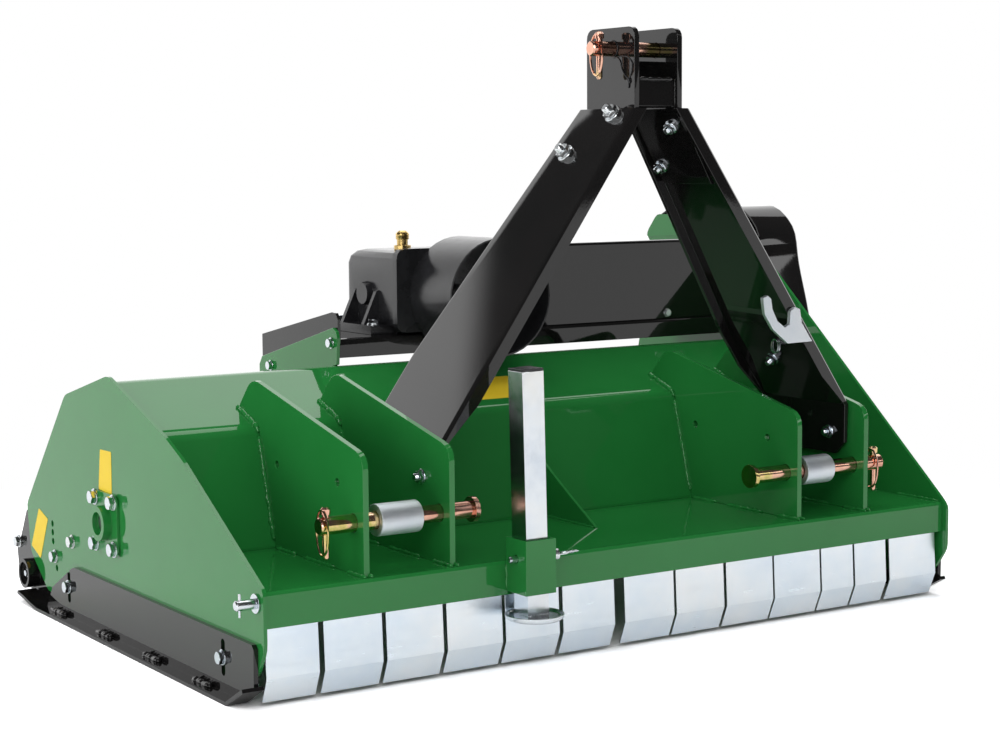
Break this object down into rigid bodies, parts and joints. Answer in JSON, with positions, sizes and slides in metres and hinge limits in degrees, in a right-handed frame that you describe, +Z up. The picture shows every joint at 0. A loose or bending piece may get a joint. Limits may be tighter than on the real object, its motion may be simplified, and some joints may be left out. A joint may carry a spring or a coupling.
{
  "type": "tractor mulcher",
  "caption": "Three-point-hitch flail mulcher with side gearbox drive, hinged front flap curtain, skids, rear roller and parking jack.",
  "frame": {"origin": "middle of the outline on the floor", "axes": "+X towards the belt side, -Y towards the tractor, +Z up"},
  "size_m": [1.533, 1.1372, 1.026],
  "materials": {
    "green_paint": "gloss",
    "black_paint": "gloss",
    "black_casting": "satin",
    "zinc_plate": "satin",
    "yellow_zinc": "satin",
    "dark_steel": "satin",
    "black_plastic": "satin",
    "belt_rubber": "matte",
    "brass": "satin"
  },
  "bodies": {
    "frame": {"front_beam": "green_paint", "housing_shell": "green_paint", "side_plate_left": "green_paint", "side_plate_right": "green_paint", "hitch_plate_1": "green_paint", "hitch_plate_2": "green_paint", "hitch_plate_3": "green_paint", "hitch_plate_4": "green_paint", "gusset_rib": "green_paint", "left_bracket": "green_paint", "rotor_bearing_left": "green_paint", "rotor_bearing_right": "green_paint", "cross_shaft_bearing": "green_paint", "jack_sleeve": "green_paint", "mast_bar_left": "black_paint", "mast_bar_right": "black_paint", "top_bracket": "black_paint", "cross_beam": "black_paint", "shaft_cover": "black_paint", "belt_cover": "black_paint", "skid_left": "black_paint", "skid_right": "black_paint", "roller_arm_left": "black_paint", "roller_arm_right": "black_paint", "flap_rod": "zinc_plate", "jack_leg": "zinc_plate", "pto_hook": "zinc_plate", "gearbox_housing": "black_casting", "pto_guard": "black_plastic", "jack_cap": "black_plastic", "drive_belt": "belt_rubber", "oil_breather": "brass"},
    "rotor_assembly": {"rotor": "dark_steel", "rotor_pulley": "black_casting"},
    "cross_shaft_assembly": {"cross_shaft": "dark_steel", "drive_pulley": "black_casting"},
    "pto_input": {"input_shaft": "dark_steel"},
    "roller": {"rear_roller": "black_paint"},
    "jack_pin_body": {"jack_pin": "zinc_plate"},
    "left_hitch_pin": {"lower_pin_left": "yellow_zinc", "lynch_pin_left": "yellow_zinc"},
    "right_hitch_pin": {"lower_pin_right": "yellow_zinc", "lynch_pin_right": "yellow_zinc"},
    "top_pin": {"top_link_pin": "yellow_zinc", "lynch_pin_top": "yellow_zinc"},
    "left_spacer": {"spacer_left": "zinc_plate"},
    "right_spacer": {"spacer_right": "zinc_plate"},
    "flap_01_body": {"flap_01": "zinc_plate"},
    "flap_02_body": {"flap_02": "zinc_plate"},
    "flap_03_body": {"flap_03": "zinc_plate"},
    "flap_04_body": {"flap_04": "zinc_plate"},
    "flap_05_body": {"flap_05": "zinc_plate"},
    "flap_06_body": {"flap_06": "zinc_plate"},
    "flap_07_body": {"flap_07": "zinc_plate"},
    "flap_08_body": {"flap_08": "zinc_plate"},
    "flap_09_body": {"flap_09": "zinc_plate"},
    "flap_10_body": {"flap_10": "zinc_plate"},
    "flap_11_body": {"flap_11": "zinc_plate"},
    "flap_12_body": {"flap_12": "zinc_plate"},
    "flap_13_body": {"flap_13": "zinc_plate"}
  },
  "joints": [
    {"name": "rotor_spin", "type": "hinge", "parent": "frame", "child": "rotor_assembly", "pos_m": [-0.0335, 0.1016, 0.199], "axis": [1, 0, 0], "continuous": true},
    {"name": "cross_shaft_spin", "type": "hinge", "parent": "frame", "child": "cross_shaft_assembly", "pos_m": [0.6665, 0.2266, 0.56], "axis": [1, 0, 0], "continuous": true},
    {"name": "pto_spin", "type": "hinge", "parent": "frame", "child": "pto_input", "pos_m": [-0.0215, 0.1216, 0.56], "axis": [0, 1, 0], "continuous": true},
    {"name": "roller_spin", "type": "hinge", "parent": "frame", "child": "roller", "pos_m": [-0.0335, 0.4766, 0.0503], "axis": [1, 0, 0], "continuous": true},
    {"name": "jack_pin_pull", "type": "slide", "parent": "frame", "child": "jack_pin_body", "axis": [1, 0, 0], "range_m": [0, 0.09]},
    {"name": "left_pin_play", "type": "slide", "parent": "frame", "child": "left_hitch_pin", "axis": [1, 0, 0], "range_m": [-0.026, 0.038]},
    {"name": "right_pin_play", "type": "slide", "parent": "frame", "child": "right_hitch_pin", "axis": [1, 0, 0], "range_m": [-0.02, 0.06]},
    {"name": "top_pin_play", "type": "slide", "parent": "frame", "child": "top_pin", "axis": [1, 0, 0], "range_m": [-0.015, 0.018]},
    {"name": "left_spacer_roll", "type": "hinge", "parent": "left_hitch_pin", "child": "left_spacer", "pos_m": [-0.4765, -0.4334, 0.258], "axis": [1, 0, 0], "continuous": true},
    {"name": "right_spacer_roll", "type": "hinge", "parent": "right_hitch_pin", "child": "right_spacer", "pos_m": [0.381, -0.4334, 0.258], "axis": [1, 0, 0], "continuous": true},
    {"name": "flap_01_swing", "type": "hinge", "parent": "frame", "child": "flap_01_body", "pos_m": [-0.67835, -0.4606, 0.16], "axis": [1, 0, 0], "range_deg": [-3, 75]},
    {"name": "flap_02_swing", "type": "hinge", "parent": "frame", "child": "flap_02_body", "pos_m": [-0.5741, -0.4606, 0.16], "axis": [1, 0, 0], "range_deg": [-3, 75]},
    {"name": "flap_03_swing", "type": "hinge", "parent": "frame", "child": "flap_03_body", "pos_m": [-0.4655, -0.4606, 0.16], "axis": [1, 0, 0], "range_deg": [-3, 75]},
    {"name": "flap_04_swing", "type": "hinge", "parent": "frame", "child": "flap_04_body", "pos_m": [-0.356, -0.4606, 0.16], "axis": [1, 0, 0], "range_deg": [-3, 75]},
    {"name": "flap_05_swing", "type": "hinge", "parent": "frame", "child": "flap_05_body", "pos_m": [-0.24652, -0.4606, 0.16], "axis": [1, 0, 0], "range_deg": [-2, 75]},
    {"name": "flap_06_swing", "type": "hinge", "parent": "frame", "child": "flap_06_body", "pos_m": [-0.13528, -0.4606, 0.16], "axis": [1, 0, 0], "range_deg": [-3, 75]},
    {"name": "flap_07_swing", "type": "hinge", "parent": "frame", "child": "flap_07_body", "pos_m": [-0.011, -0.4606, 0.16], "axis": [1, 0, 0], "range_deg": [-3, 75]},
    {"name": "flap_08_swing", "type": "hinge", "parent": "frame", "child": "flap_08_body", "pos_m": [0.097, -0.4606, 0.16], "axis": [1, 0, 0], "range_deg": [-3, 75]},
    {"name": "flap_09_swing", "type": "hinge", "parent": "frame", "child": "flap_09_body", "pos_m": [0.20625, -0.4606, 0.16], "axis": [1, 0, 0], "range_deg": [-3, 75]},
    {"name": "flap_10_swing", "type": "hinge", "parent": "frame", "child": "flap_10_body", "pos_m": [0.3145, -0.4606, 0.16], "axis": [1, 0, 0], "range_deg": [-3, 75]},
    {"name": "flap_11_swing", "type": "hinge", "parent": "frame", "child": "flap_11_body", "pos_m": [0.40838, -0.4606, 0.16], "axis": [1, 0, 0], "range_deg": [-3, 75]},
    {"name": "flap_12_swing", "type": "hinge", "parent": "frame", "child": "flap_12_body", "pos_m": [0.48788, -0.4606, 0.16], "axis": [1, 0, 0], "range_deg": [-3, 75]},
    {"name": "flap_13_swing", "type": "hinge", "parent": "frame", "child": "flap_13_body", "pos_m": [0.5915, -0.4606, 0.16], "axis": [1, 0, 0], "range_deg": [-3, 75]}
  ],
  "couplings": [
    {"joint": "cross_shaft_spin", "follows": "rotor_spin", "ratio": 0.8333},
    {"joint": "pto_spin", "follows": "rotor_spin", "ratio": -0.2778}
  ]
}
